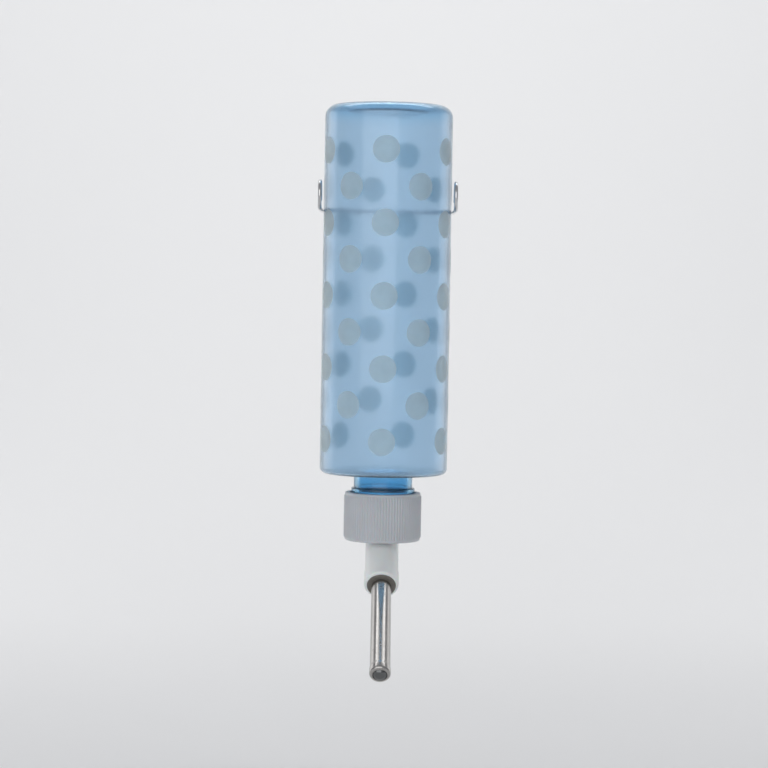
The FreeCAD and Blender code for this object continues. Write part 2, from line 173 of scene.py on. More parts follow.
# %% [markdown]
# ## Turned pieces
# The bottle, the cap and the tube are each round about one axis. By hand such a piece starts as
# one ring of vertices, and the ring is extruded and resized again and again along the outline.
# The outline is a list of corners, each with its own rounding, and a small function puts the arcs
# in. This keeps every wall a real wall, with an inside and an outside.


# %% Outline with rounded corners
def rounded(corners, steps=6):
    """Points of an outline; each corner is (radius, height) or (radius, height, rounding)."""
    points = []
    for i, corner in enumerate(corners):
        here = Vector(corner[:2])
        size = corner[2] if len(corner) > 2 else 0
        if size == 0:
            points.append(here)
            continue
        before = (Vector(corners[i - 1][:2]) - here).normalized()
        after = (Vector(corners[(i + 1) % len(corners)][:2]) - here).normalized()
        half = before.angle(after) / 2
        tangent = size / math.tan(half)
        centre = here + (before + after).normalized() * (size / math.sin(half))
        first = here + before * tangent - centre
        last = here + after * tangent - centre
        sweep_angle = first.angle_signed(last)
        for step in range(steps + 1):
            turned = first.copy()
            turned.rotate(Matrix.Rotation(-sweep_angle * step / steps, 2))
            points.append(centre + turned)
    return points


# %% Turning
def turn_piece(name, outline, segments, closed=True):
    """Loft one ring of vertices through an outline about Z, then close it."""
    first = outline[0]
    obj = new_primitive(name, bpy.ops.mesh.primitive_circle_add, vertices=segments,
                        radius=first.x, location=(0, 0, first.y))
    bpy.ops.object.transform_apply(location=True, rotation=True, scale=True)
    bpy.ops.object.mode_set(mode="EDIT")
    bpy.ops.mesh.select_mode(type="VERT")
    bpy.ops.mesh.select_all(action="SELECT")
    if not closed:
        cap_ring(obj, first)
    for here, there in zip(outline, outline[1:]):
        lift = {"value": (0, 0, there.y - here.y)}
        bpy.ops.mesh.extrude_region_move(TRANSFORM_OT_translate=lift)
        scale = there.x / here.x
        bpy.ops.transform.resize(value=(scale, scale, 1), center_override=(0, 0, there.y))
    if closed:
        count = len(obj_vertices(obj))
        select_rings(obj, segments, count)
        bpy.ops.mesh.bridge_edge_loops()
    else:
        cap_ring(obj, outline[-1])
    bpy.ops.mesh.select_all(action="SELECT")
    bpy.ops.mesh.remove_doubles(threshold=1e-7)
    bpy.ops.mesh.normals_make_consistent(inside=False)
    only(obj)
    bpy.ops.object.shade_smooth_by_angle(angle=math.radians(40))
    return obj


def obj_vertices(obj):
    """The mesh's vertices, up to date with edit mode."""
    obj.update_from_editmode()
    return obj.data.vertices


def select_rings(obj, segments, count):
    """In edit mode, select the first and the last ring of a lofted piece."""
    bpy.ops.object.mode_set(mode="OBJECT")
    for part in (obj.data.polygons, obj.data.edges, obj.data.vertices):
        part.foreach_set("select", [False] * len(part))
    for vertex in obj.data.vertices:
        vertex.select = vertex.index < segments or vertex.index >= count - segments
    for edge in obj.data.edges:
        a, b = edge.vertices
        same_end = (a < segments) == (b < segments)
        edge.select = obj.data.vertices[a].select and obj.data.vertices[b].select and same_end
    bpy.ops.object.mode_set(mode="EDIT")
    bpy.ops.mesh.select_mode(type="EDGE")


def cap_ring(obj, at):
    """Close the selected ring with a fan to one point, then select the ring again."""
    bpy.ops.mesh.extrude_region_move()
    bpy.ops.mesh.merge(type="CENTER")
    bpy.ops.mesh.select_all(action="DESELECT")
    bpy.ops.object.mode_set(mode="OBJECT")
    for vertex in obj.data.vertices:
        on_ring = abs(vertex.co.xy.length - at.x) < 1e-6 and abs(vertex.co.z - at.y) < 1e-6
        vertex.select = on_ring
    bpy.ops.object.mode_set(mode="EDIT")
    bpy.ops.mesh.select_mode(type="VERT")


def stand_on_axis(obj, place, direction=Vector((0, 0, 1))):
    """Turn a piece from Z to a direction, put it in place and bake that into its mesh."""
    only(obj)
    obj.rotation_mode = "QUATERNION"
    obj.rotation_quaternion = Vector((0, 0, 1)).rotation_difference(direction)
    obj.location = place
    bpy.ops.object.transform_apply(location=True, rotation=True, scale=True)
    obj.rotation_mode = "XYZ"
    print(obj.name, "has", len(obj.data.polygons), "faces")
    return obj


# %% [markdown]
# ## The bottle
# The real bottle is blown from one tube of plastic, so its wall is thin and its corners are soft.
# Light passes two walls, and each wall bends it at its rim. Only a real shell with a thickness
# shows the pale edge that this gives, so the outline runs down the outside, round the lip and
# back up the inside.

# %% Bottle
WALL = 1.1 * MM
BODY_LENGTH = 178.7 * MM
BASE_ROUND = 6 * MM
RECESS_RADIUS = 21 * MM
RECESS_DEPTH = 2.5 * MM
SHOULDER_ROUND = 3 * MM
NECK_RADIUS = 14.25 * MM
NECK_BORE = 12.2 * MM
BEAD_RADIUS = 15.45 * MM
BEAD_BELOW_SHOULDER = 6.8 * MM
BEAD_HEIGHT = 2 * MM
POLE = 2 * MM
END_SPAN = 60 * MM
base_z = bottle_high.z
lip_z = bottle_low.z
shoulder_z = base_z - BODY_LENGTH
bead_z = shoulder_z - BEAD_BELOW_SHOULDER
recess_z = base_z - RECESS_DEPTH

bottle_outline = rounded([
    (POLE, recess_z),
    (RECESS_RADIUS - RECESS_DEPTH, recess_z, 2 * MM),
    (RECESS_RADIUS, base_z, 1 * MM),
    (BOTTLE_RADIUS, base_z, BASE_ROUND),
    (BOTTLE_RADIUS, shoulder_z + END_SPAN),
    (BOTTLE_RADIUS, shoulder_z, SHOULDER_ROUND),
    (NECK_RADIUS, shoulder_z, 1.4 * MM),
    (NECK_RADIUS, bead_z, 0.4 * MM),
    (BEAD_RADIUS, bead_z, 0.6 * MM),
    (BEAD_RADIUS, bead_z - BEAD_HEIGHT, 0.6 * MM),
    (NECK_RADIUS, bead_z - BEAD_HEIGHT, 0.4 * MM),
    (NECK_RADIUS, lip_z, 0.7 * MM),
    (NECK_BORE, lip_z, 0.7 * MM),
    (NECK_BORE, shoulder_z + WALL, 1.4 * MM),
    (BOTTLE_RADIUS - WALL, shoulder_z + WALL, SHOULDER_ROUND - WALL),
    (BOTTLE_RADIUS - WALL, base_z - END_SPAN),
    (BOTTLE_RADIUS - WALL, base_z - WALL, BASE_ROUND - WALL),
    (RECESS_RADIUS, base_z - WALL, 1 * MM),
    (RECESS_RADIUS - RECESS_DEPTH, recess_z - WALL, 2 * MM),
    (POLE, recess_z - WALL),
], steps=7)
bottle_piece = turn_piece("bottle_shell", bottle_outline, 128, closed=False)
stand_on_axis(bottle_piece, BOTTLE_AXIS)

# %% [markdown]
# The neck's thread is a ridge that climbs as it goes round. By hand it is a small four-sided
# section that the spin tool sweeps round the axis with a lift at every step. Here the section is
# extruded and turned in short steps, which is the same thing, and its two ends are closed.

# %% Thread ridges
THREAD_PITCH = 4 * MM
THREAD_TURNS = 1.25
THREAD_DEPTH = 1.45 * MM
THREAD_ROOT = 0.3 * MM
HALF_ROOT_WIDTH = 0.95 * MM
HALF_CREST_WIDTH = 0.45 * MM
THREAD_START = -155 * MM
THREAD_STEPS = 90


def thread_ridge(name, root, crest, start_z):
    """A right-handed ridge that begins at +X and climbs along +Z."""
    ridge = new_primitive(name, bpy.ops.mesh.primitive_plane_add, size=1)
    corners = [(root, -HALF_ROOT_WIDTH), (crest, -HALF_CREST_WIDTH),
               (crest, HALF_CREST_WIDTH), (root, HALF_ROOT_WIDTH)]
    ring = [0, 1, 3, 2]
    for index, (radius, height) in zip(ring, corners):
        ridge.data.vertices[index].co = (radius, 0, start_z + height)
    only(ridge)
    bpy.ops.object.mode_set(mode="EDIT")
    bpy.ops.mesh.select_all(action="SELECT")
    turn = 2 * math.pi * THREAD_TURNS / THREAD_STEPS
    lift = THREAD_PITCH * THREAD_TURNS / THREAD_STEPS
    for _ in range(THREAD_STEPS):
        bpy.ops.mesh.extrude_region_move(TRANSFORM_OT_translate={"value": (0, 0, lift)})
        bpy.ops.transform.rotate(value=-turn, orient_axis="Z", center_override=(0, 0, 0))
    bpy.ops.mesh.select_all(action="SELECT")
    bpy.ops.mesh.normals_make_consistent(inside=False)
    only(ridge)
    bpy.ops.object.shade_smooth_by_angle(angle=math.radians(40))
    return stand_on_axis(ridge, BOTTLE_AXIS)


def join_into(target, others):
    """Join finished pieces into one object."""
    only(target)
    for other in others:
        other.select_set(True)
    bpy.ops.object.join()
    return target


neck_thread = thread_ridge("neck_thread", NECK_RADIUS - THREAD_ROOT, NECK_RADIUS + THREAD_DEPTH,
                           THREAD_START)
join_into(bottle_piece, [neck_thread])
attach(bottle_piece, "bottle")
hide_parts("bottle")

# %% [markdown]
# ## Printed dots
# White dots are screen-printed on the outside in columns round the bottle, each column shifted by
# half a step against the next. Ink is a thin film with its own finish, so it is its own piece and
# not a colour on the plastic. One dot is a flat disc with a few rings in it, wrapped onto the
# bottle's side and given the film's thickness. All the others are copies of it, turned and lifted.

# %% One dot
DOT_RADIUS = 6.5 * MM
DOT_RINGS = 5
DOT_RING_STEP = 1.15 * MM
INK_THICKNESS = 0.05 * MM
INK_LIFT = 0.02 * MM
dot = new_primitive("one_dot", bpy.ops.mesh.primitive_circle_add, vertices=40, radius=DOT_RADIUS,
                    fill_type="NGON", location=(0, 0, 0), rotation=(math.radians(90), 0, 0))
bpy.ops.object.transform_apply(location=True, rotation=True, scale=True)
bpy.ops.object.mode_set(mode="EDIT")
bpy.ops.mesh.select_all(action="SELECT")
for _ in range(DOT_RINGS):
    bpy.ops.mesh.inset(thickness=DOT_RING_STEP)
bpy.ops.mesh.poke()
bpy.ops.object.mode_set(mode="OBJECT")
film_radius = BOTTLE_RADIUS + INK_LIFT
for vertex in dot.data.vertices:
    angle = vertex.co.x / film_radius
    vertex.co.x = math.sin(angle) * film_radius
    vertex.co.y = -math.cos(angle) * film_radius
film = dot.modifiers.new("film", "SOLIDIFY")
film.thickness = INK_THICKNESS
film.offset = 1
only(dot)
bpy.ops.object.modifier_apply(modifier="film")
bpy.ops.object.shade_smooth_by_angle(angle=math.radians(40))

# %% All the dots
DOT_COLUMNS = 11
FIRST_COLUMN = -7
COLUMN_STEP = math.radians(360 / DOT_COLUMNS)
FRONT_COLUMN = math.radians(-2)
ROW_STEP = 34.7 * MM
TOP_ROW_EVEN = 21.2 * MM
TOP_ROW_ODD = 3.85 * MM
ROWS = {0: 5, 1: 4}
dots = []
for column in range(FIRST_COLUMN, FIRST_COLUMN + DOT_COLUMNS):
    parity = column % 2
    top = TOP_ROW_ODD if parity else TOP_ROW_EVEN
    turned = Matrix.Rotation(FRONT_COLUMN + column * COLUMN_STEP, 4, "Z")
    for row in range(ROWS[parity]):
        copy = bpy.data.objects.new("dot", dot.data.copy())
        bpy.context.scene.collection.objects.link(copy)
        place = Matrix.Translation(BOTTLE_AXIS + Vector((0, 0, top - row * ROW_STEP)))
        copy.data.transform(place @ turned)
        dots.append(copy)
bpy.data.objects.remove(dot)
printed_dots = join_into(dots[0], dots[1:])
printed_dots.name = "printed_dots"
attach(printed_dots, "bottle")
print(len(dots), "dots printed")

# %% [markdown]
# ## The screw cap
# The cap is a moulded ring with a plate across one end. Its fine ribs are for wet fingers. The
# ring is turned with six columns of faces to every rib. Then the crests of all the ribs are
# selected together and scaled away from the axis, and the flanks beside them a little less.

# %% Cap ring
RIB_COUNT = 84
COLUMNS_PER_RIB = 6
RIB_HEIGHT = 0.45 * MM
RIB_FLANK_HEIGHT = 0.33 * MM
RIB_END = 1.3 * MM
RIB_RAMP = 0.5 * MM
CAP_BORE = 16.05 * MM
CAP_HOLE = 12 * MM
PLATE = 2 * MM
cap_radius = cap_high.x - RIB_HEIGHT
rib_low = cap_low.z + RIB_END
rib_high = cap_high.z - RIB_END
cap_outline = rounded([
    (CAP_HOLE, cap_low.z, 0.3 * MM),
    (cap_radius, cap_low.z, 1.0 * MM),
    (cap_radius, rib_low),
    (cap_radius, rib_low + RIB_RAMP),
    (cap_radius, rib_high - RIB_RAMP),
    (cap_radius, rib_high),
    (cap_radius, cap_high.z, 0.7 * MM),
    (CAP_BORE, cap_high.z, 0.4 * MM),
    (CAP_BORE, cap_low.z + PLATE, 0.4 * MM),
    (CAP_HOLE, cap_low.z + PLATE, 0.3 * MM),
], steps=5)
cap_piece = turn_piece("ribbed_cap", cap_outline, RIB_COUNT * COLUMNS_PER_RIB)

# %% Grip ribs
column_angle = 2 * math.pi / (RIB_COUNT * COLUMNS_PER_RIB)


def raise_ribs(obj, columns, height):
    """Scale the chosen columns of every rib outwards, clear of the rib's two ends."""
    def on_rib(co):
        column = round(math.atan2(co.y, co.x) / column_angle) % COLUMNS_PER_RIB
        outside = co.xy.length > cap_radius - 0.01 * MM
        inside_ends = rib_low + 0.1 * MM < co.z < rib_high - 0.1 * MM
        return outside and inside_ends and column in columns
    edit(obj, on_rib)
    scale = (cap_radius + height) / cap_radius
    bpy.ops.transform.resize(value=(scale, scale, 1), center_override=(0, 0, 0))


raise_ribs(cap_piece, {0}, RIB_HEIGHT)
raise_ribs(cap_piece, {1, 5}, RIB_FLANK_HEIGHT)
only(cap_piece)
bpy.ops.object.shade_smooth_by_angle(angle=math.radians(60))
stand_on_axis(cap_piece, BOTTLE_AXIS)
cap_thread = thread_ridge("cap_thread", CAP_BORE + THREAD_ROOT, CAP_BORE - THREAD_DEPTH,
                          THREAD_START - THREAD_PITCH / 2)
join_into(cap_piece, [cap_thread])
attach(cap_piece, "cap")
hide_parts("screw_cap")

# %% [markdown]
# ## The drinking tube
# The tube is thin stainless steel, cut square at the hidden end. Its wet end is rolled inwards, so
# that the ball can't fall out, and rolling it makes the metal bulge a little behind the roll. The
# outline is turned like the others and then laid along the spout. Three dents in its underside
# stop the balls from running up into the bottle. The hidden end is a little narrower and meets the
# rubber ring with a shoulder. That step and the dents are guesses, and a real tube may be plain.

# %% Tube
TUBE_RADIUS = 4.75 * MM
TUBE_SEAT_RADIUS = 4.55 * MM
TUBE_BORE = 4.25 * MM
TIP_BEAD_RADIUS = 4.95 * MM
TIP_OPENING = 3.4 * MM
TIP_ROLL = 1.4 * MM
DENT_FROM_TIP = 19.2 * MM
DENT_RINGS = 11
DENT_RING_STEP = 0.3 * MM
dent_level = tube_end - DENT_FROM_TIP
dent_levels = [dent_level + DENT_RING_STEP * (i - DENT_RINGS // 2) for i in range(DENT_RINGS)]
tube_outline = rounded([
    (TUBE_BORE, tube_start, 0.1 * MM),
    (TUBE_SEAT_RADIUS, tube_start, 0.2 * MM),
    (TUBE_SEAT_RADIUS, seal_end + 0.4 * MM),
    (TUBE_RADIUS, seal_end + 0.5 * MM),
    *[(TUBE_RADIUS, level) for level in dent_levels],
    (TUBE_RADIUS, tube_end - 5.2 * MM, 2 * MM),
    (TIP_BEAD_RADIUS, tube_end - 4.0 * MM, 2 * MM),
    (TIP_BEAD_RADIUS, tube_end, TIP_ROLL),
    (TIP_OPENING, tube_end, 0.13 * MM),
    (TIP_OPENING, tube_end - 0.3 * MM, 0.13 * MM),
    (TUBE_BORE, tube_end - 1.5 * MM, 0.5 * MM),
    *[(TUBE_BORE, level) for level in reversed(dent_levels)],
], steps=8)
tube_piece = turn_piece("steel_tube", tube_outline, 96)

# %% Dents behind the balls
DENTS = [(0.95 * MM, 0.15 * MM), (0.7 * MM, 0.3 * MM), (0.4 * MM, 0.25 * MM)]
for degrees in (-60, 0, 60):
    inward = Vector((0, 1, 0))
    inward.rotate(Matrix.Rotation(math.radians(degrees), 3, "Z"))
    middle = Vector((0, 0, dent_level)) - inward * TUBE_RADIUS
    for reach, depth in DENTS:
        def under_punch(co):
            """True beside the dent's own axis, on its side of the tube."""
            offset = co - middle
            aside = offset - inward * offset.dot(inward)
            return aside.length < reach and co.dot(inward) < 0
        edit(tube_piece, under_punch)
        bpy.ops.transform.translate(value=inward * depth)
stand_on_axis(tube_piece, TURN, SPOUT_OUT)
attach(tube_piece, "nozzle")
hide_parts("spout_tube")

# %% [markdown]
# ## The wire hanger
# The hanger is one length of spring wire. Bending wire is just what the spin tool does: a round
# section is swept about the middle of each bend, and the straight lengths between the bends are
# extruded. The ends are domed, because the cut wire is tumbled smooth.

# %% Wire section
WIRE_RADIUS = 0.9 * MM
WIRE_SIDES = 20
EYE_SWEEP = math.radians(290)
wire_reach = wire_high.x - WIRE_RADIUS
eye_radius = (wire_high.z - wire_low.z) / 2 - WIRE_RADIUS
eye_z = (wire_high.z + wire_low.z) / 2
eye_y = wire_low.y + WIRE_RADIUS + eye_radius
arm_z = eye_z - eye_radius
hanger = new_primitive("bent_wire", bpy.ops.mesh.primitive_circle_add, vertices=WIRE_SIDES,
                       radius=WIRE_RADIUS, location=(wire_reach, eye_y, arm_z),
                       rotation=(math.radians(90), 0, 0))
bpy.ops.object.transform_apply(location=True, rotation=True, scale=True)


# %% Bends
def pick_ring(centre):
    """Select the ring of wire vertices round a point."""
    edit(hanger, lambda co: (co - centre).length < WIRE_RADIUS * 1.01)


def dome_end(direction):
    """Close the selected ring with a low dome."""
    for lift, scale in ((0.25, 0.93), (0.2, 0.8), (0.12, 0.55)):
        step = direction * (lift * WIRE_RADIUS)
        bpy.ops.mesh.extrude_region_move(TRANSFORM_OT_translate={"value": step})
        bpy.ops.transform.resize(value=(scale,) * 3)
    bpy.ops.mesh.edge_face_add()


def bend_eye(x):
    """Sweep one eye forwards, up and over from the arm's end, and dome its tip."""
    pick_ring(Vector((x, eye_y, arm_z)))
    bpy.ops.mesh.spin(steps=58, angle=EYE_SWEEP, center=(x, eye_y, eye_z), axis=(1, 0, 0))
    tangent = Vector((0, -math.cos(EYE_SWEEP), math.sin(EYE_SWEEP)))
    dome_end(tangent)


right_end = Vector((wire_reach, eye_y, arm_z))
bend_eye(wire_reach)
pick_ring(right_end)
bpy.ops.mesh.extrude_region_move(TRANSFORM_OT_translate={"value": (0, AXIS_Y - eye_y, 0)})
bpy.ops.mesh.spin(steps=90, angle=math.pi, center=(0, AXIS_Y, arm_z), axis=(0, 0, -1))
bpy.ops.mesh.extrude_region_move(TRANSFORM_OT_translate={"value": (0, eye_y - AXIS_Y, 0)})
bend_eye(-wire_reach)
bpy.ops.mesh.select_all(action="SELECT")
bpy.ops.mesh.remove_doubles(threshold=1e-7)
bpy.ops.mesh.normals_make_consistent(inside=False)
only(hanger)
bpy.ops.object.shade_smooth_by_angle(angle=math.radians(50))
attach(hanger, "hanger")
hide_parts("wire_hanger")
print("hanger has", len(hanger.data.polygons), "faces")

# %% [markdown]
# ## Finishes
# Some effects belong to more than one finish. Moulded plastic is never quite flat, so it has a
# fine grain, and everything that is handled picks up faint smears that dull its gloss in patches.
# Each effect is a node group with named inputs, built once and placed in each material with that
# material's own values.


# %% Node helpers
def add_node(tree, kind, **settings):
    """Add a node and set its properties or its unlinked inputs by name."""
    node = tree.nodes.new(kind)
    for name, setting in settings.items():
        if hasattr(node, name):
            setattr(node, name, setting)
        else:
            node.inputs[name].default_value = setting
    return node


def add_range(tree, **limits):
    """A Map Range node with some of its limits set by name."""
    node = tree.nodes.new("ShaderNodeMapRange")
    for name, limit in limits.items():
        node.inputs[name.replace("_", " ")].default_value = limit
    return node


def new_group(name, inputs, outputs):
    """An empty shader node group with float inputs and the given outputs."""
    tree = bpy.data.node_groups.new(name, "ShaderNodeTree")
    for title, default in inputs.items():
        socket = tree.interface.new_socket(title, in_out="INPUT", socket_type="NodeSocketFloat")
        socket.default_value = default
    for title, kind in outputs.items():
        tree.interface.new_socket(title, in_out="OUTPUT", socket_type="NodeSocket" + kind)
    return tree, tree.nodes.new("NodeGroupInput"), tree.nodes.new("NodeGroupOutput")


# %% Moulded grain
grain, grain_in, grain_out = new_group(
    "Moulded grain",
    {"Grain Size": 900.0, "Grain Depth": 0.15, "Ripple Size": 60.0, "Ripple Depth": 0.5},
    {"Height": "Float"})
place = add_node(grain, "ShaderNodeTexCoord")
fine = add_node(grain, "ShaderNodeTexNoise", Detail=3.0, Roughness=0.6)
ripple = add_node(grain, "ShaderNodeTexNoise", Detail=2.0, Roughness=0.5)
fine_depth = add_node(grain, "ShaderNodeMath", operation="MULTIPLY")
ripple_depth = add_node(grain, "ShaderNodeMath", operation="MULTIPLY")
both = add_node(grain, "ShaderNodeMath", operation="ADD")
grain.links.new(place.outputs["Object"], fine.inputs["Vector"])
grain.links.new(place.outputs["Object"], ripple.inputs["Vector"])
grain.links.new(grain_in.outputs["Grain Size"], fine.inputs["Scale"])
grain.links.new(grain_in.outputs["Ripple Size"], ripple.inputs["Scale"])
grain.links.new(fine.outputs["Fac"], fine_depth.inputs[0])
grain.links.new(grain_in.outputs["Grain Depth"], fine_depth.inputs[1])
grain.links.new(ripple.outputs["Fac"], ripple_depth.inputs[0])
grain.links.new(grain_in.outputs["Ripple Depth"], ripple_depth.inputs[1])
grain.links.new(fine_depth.outputs[0], both.inputs[0])
grain.links.new(ripple_depth.outputs[0], both.inputs[1])
grain.links.new(both.outputs[0], grain_out.inputs["Height"])
print(grain.name, "has", len(grain.nodes), "nodes")

# %% Handling smears
smears, smears_in, smears_out = new_group(
    "Handling smears",
    {"Clean Roughness": 0.2, "Smeared Roughness": 0.4, "Patch Size": 35.0},
    {"Roughness": "Float"})
place = add_node(smears, "ShaderNodeTexCoord")
patches = add_node(smears, "ShaderNodeTexNoise", Detail=5.0, Roughness=0.65, Distortion=0.8)
spread = add_range(smears, From_Min=0.45, From_Max=0.75)
mixed = add_range(smears)
smears.links.new(place.outputs["Object"], patches.inputs["Vector"])
smears.links.new(smears_in.outputs["Patch Size"], patches.inputs["Scale"])
smears.links.new(patches.outputs["Fac"], spread.inputs["Value"])
smears.links.new(spread.outputs["Result"], mixed.inputs["Value"])
smears.links.new(smears_in.outputs["Clean Roughness"], mixed.inputs["To Min"])
smears.links.new(smears_in.outputs["Smeared Roughness"], mixed.inputs["To Max"])
smears.links.new(mixed.outputs["Result"], smears_out.inputs["Roughness"])
print(smears.name, "has", len(smears.nodes), "nodes")

# %% Colour drift
drift, drift_in, drift_out = new_group(
    "Colour drift",
    {"Cloud Size": 25.0, "Darkest": 0.92, "Lightest": 1.0},
    {"Shade": "Color"})
place = add_node(drift, "ShaderNodeTexCoord")
clouds = add_node(drift, "ShaderNodeTexNoise", Detail=4.0)
shade = add_range(drift, From_Min=0.3, From_Max=0.7)
drift.links.new(place.outputs["Object"], clouds.inputs["Vector"])
drift.links.new(drift_in.outputs["Cloud Size"], clouds.inputs["Scale"])
drift.links.new(clouds.outputs["Fac"], shade.inputs["Value"])
drift.links.new(drift_in.outputs["Darkest"], shade.inputs["To Min"])
drift.links.new(drift_in.outputs["Lightest"], shade.inputs["To Max"])
drift.links.new(shade.outputs["Result"], drift_out.inputs["Shade"])
print(drift.name, "has", len(drift.nodes), "nodes")


# %% Starting a material
def new_finish(name, colour, **constants):
    """A material with one Principled shader; constants are set on the shader's own sockets."""
    material = bpy.data.materials.new(name)
    material.use_nodes = True
    tree = material.node_tree
    shader = tree.nodes["Principled BSDF"]
    shader.inputs["Base Color"].default_value = (*colour, 1)
    for socket, setting in constants.items():
        shader.inputs[socket].default_value = setting
    return material, tree, shader


def place_group(tree, group, **settings):
    """Put a group in a material with this material's own values."""
    node = tree.nodes.new("ShaderNodeGroup")
    node.node_tree = group
    for title, setting in settings.items():
        node.inputs[title.replace("_", " ")].default_value = setting
    return node


def add_drift(tree, shader, colour, **settings):
    """Multiply the colour by slow clouds of shade."""
    clouds = place_group(tree, drift, **settings)
    tint = add_node(tree, "ShaderNodeMix", data_type="RGBA", blend_type="MULTIPLY")
    tint.inputs["Factor"].default_value = 1
    tint.inputs["A"].default_value = (*colour, 1)
    tree.links.new(clouds.outputs["Shade"], tint.inputs["B"])
    tree.links.new(tint.outputs["Result"], shader.inputs["Base Color"])
    return tint


def add_smears(tree, shader, **settings):
    """Drive the roughness with handling smears."""
    patches = place_group(tree, smears, **settings)
    tree.links.new(patches.outputs["Roughness"], shader.inputs["Roughness"])


def add_bump(tree, shader, distance, height_socket, strength=1.0):
    """Feed a height through one Bump node to the shader's normal."""
    bump = add_node(tree, "ShaderNodeBump", Strength=strength, Distance=distance)
    tree.links.new(height_socket, bump.inputs["Height"])
    tree.links.new(bump.outputs["Normal"], shader.inputs["Normal"])


def dress(pieces, material):
    """Give one material to pieces or CAD nodes."""
    for piece in pieces:
        piece.data.materials.clear()
        piece.data.materials.append(material)
        print(material.name, "is on", piece.name)


# %% [markdown]
# ### See-through blue plastic
# The bottle is tinted polypropylene: light goes through it and takes the tint, once at each wall,
# and a slight haze in the plastic softens what is behind. A transmitting shader on a real double
# wall does this by itself. The plastic gathers at the neck and the base, so the tint is deeper
# there, and two gradients on height give that. A low bump gives the very slight ripple of the
# blown surface.

# %% Bottle plastic
BLUE = (0.665, 0.825, 0.96)
NECK_BLUE = (0.28, 0.64, 0.92)
bottle_plastic, tree, shader = new_finish(
    "blue_bottle_plastic", BLUE, **{"Transmission Weight": 0.95, "IOR": 1.49})
tint = add_drift(tree, shader, BLUE, Cloud_Size=18.0, Darkest=0.95, Lightest=1.0)
place = add_node(tree, "ShaderNodeTexCoord")
height = add_node(tree, "ShaderNodeSeparateXYZ")
thickness = add_range(tree, From_Min=shoulder_z + 2 * MM, From_Max=shoulder_z - 3 * MM)
base_thickness = add_range(tree, From_Min=35 * MM, From_Max=43 * MM, To_Max=0.45)
thickest = add_node(tree, "ShaderNodeMath", operation="MAXIMUM")
deepened = add_node(tree, "ShaderNodeMix", data_type="RGBA")
deepened.inputs["A"].default_value = (*BLUE, 1)
deepened.inputs["B"].default_value = (*NECK_BLUE, 1)
tree.links.new(place.outputs["Object"], height.inputs[0])
tree.links.new(height.outputs["Z"], thickness.inputs["Value"])
tree.links.new(height.outputs["Z"], base_thickness.inputs["Value"])
tree.links.new(thickness.outputs["Result"], thickest.inputs[0])
tree.links.new(base_thickness.outputs["Result"], thickest.inputs[1])
tree.links.new(thickest.outputs[0], deepened.inputs["Factor"])
tree.links.new(deepened.outputs["Result"], tint.inputs["A"])
add_smears(tree, shader, Clean_Roughness=0.14, Smeared_Roughness=0.24, Patch_Size=30.0)
body_grain = place_group(tree, grain, Grain_Size=700.0, Grain_Depth=0.05, Ripple_Size=45.0,
                         Ripple_Depth=0.6)
add_bump(tree, shader, 0.15 * MM, body_grain.outputs["Height"])
dress([bottle_piece], bottle_plastic)

# %% [markdown]
# ### Ink
# The dots are a thin coat of white ink. It is flat and chalky next to the plastic and thin
# enough to glow when light comes from behind, so part of it transmits in a rough way and its alpha
# is under one. Seen through the bottle, white ink alone comes out too grey, so its underside has a
# painted blue glow: painted light that stands in for the tinted light reaching it through the
# plastic. That is a choice made for the look and not a fact about the ink. The distance from the
# bottle's axis tells the two sides apart.

# %% Dot ink
INK_WHITE = (0.97, 0.89, 0.81)
# The underside's blue is painted light, standing in for tinted light that reaches the ink through
# the plastic.
INK_UNDERSIDE_PAINTED_LIGHT = (0.42, 0.82, 1.0)
dot_ink, tree, shader = new_finish("white_dot_ink", INK_WHITE, **{
    "Alpha": 0.66, "Transmission Weight": 0.67, "IOR": 1.2})
tint = add_drift(tree, shader, INK_WHITE, Cloud_Size=160.0, Darkest=0.9, Lightest=1.0)
place = add_node(tree, "ShaderNodeTexCoord")
off_axis = add_node(tree, "ShaderNodeMapping")
off_axis.inputs["Location"].default_value = -BOTTLE_AXIS
off_axis.inputs["Scale"].default_value = (1, 1, 0)
distance = add_node(tree, "ShaderNodeVectorMath", operation="LENGTH")
side = add_range(tree, From_Min=film_radius + 0.1 * INK_THICKNESS,
                 From_Max=film_radius + 0.6 * INK_THICKNESS)
two_sides = add_node(tree, "ShaderNodeMix", data_type="RGBA")
two_sides.inputs["A"].default_value = (*INK_UNDERSIDE_PAINTED_LIGHT, 1)
two_sides.inputs["B"].default_value = (*INK_WHITE, 1)
tree.links.new(place.outputs["Object"], off_axis.inputs["Vector"])
tree.links.new(off_axis.outputs["Vector"], distance.inputs[0])
tree.links.new(distance.outputs["Value"], side.inputs["Value"])
tree.links.new(side.outputs["Result"], two_sides.inputs["Factor"])
tree.links.new(two_sides.outputs["Result"], tint.inputs["A"])
add_smears(tree, shader, Clean_Roughness=0.6, Smeared_Roughness=0.75, Patch_Size=120.0)
ink_grain = place_group(tree, grain, Grain_Size=2500.0, Grain_Depth=0.4, Ripple_Size=300.0,
                        Ripple_Depth=0.3)
add_bump(tree, shader, 0.03 * MM, ink_grain.outputs["Height"])
dress([printed_dots], dot_ink)

# %% [markdown]
# ### White plastic
# The cap and the nozzle are both moulded white plastic, and the cap's colour is darkened to a
# blue-grey as painted shade.
# Light sinks a little way into it, so it has some subsurface scattering, and its surface has the
# fine grain of the mould.


# %% Cap and nozzle plastic
def white_plastic(name, colour, clean, smeared):
    """Moulded white plastic with a satin surface."""
    material, tree, shader = new_finish(name, colour, **{
        "Subsurface Weight": 0.25, "Subsurface Scale": 1.5 * MM, "IOR": 1.49})
    add_drift(tree, shader, colour, Cloud_Size=60.0, Darkest=0.94, Lightest=1.0)
    add_smears(tree, shader, Clean_Roughness=clean, Smeared_Roughness=smeared, Patch_Size=70.0)
    surface = place_group(tree, grain, Grain_Size=1800.0, Grain_Depth=0.5, Ripple_Size=150.0,
                          Ripple_Depth=0.5)
    add_bump(tree, shader, 0.03 * MM, surface.outputs["Height"])
    return material
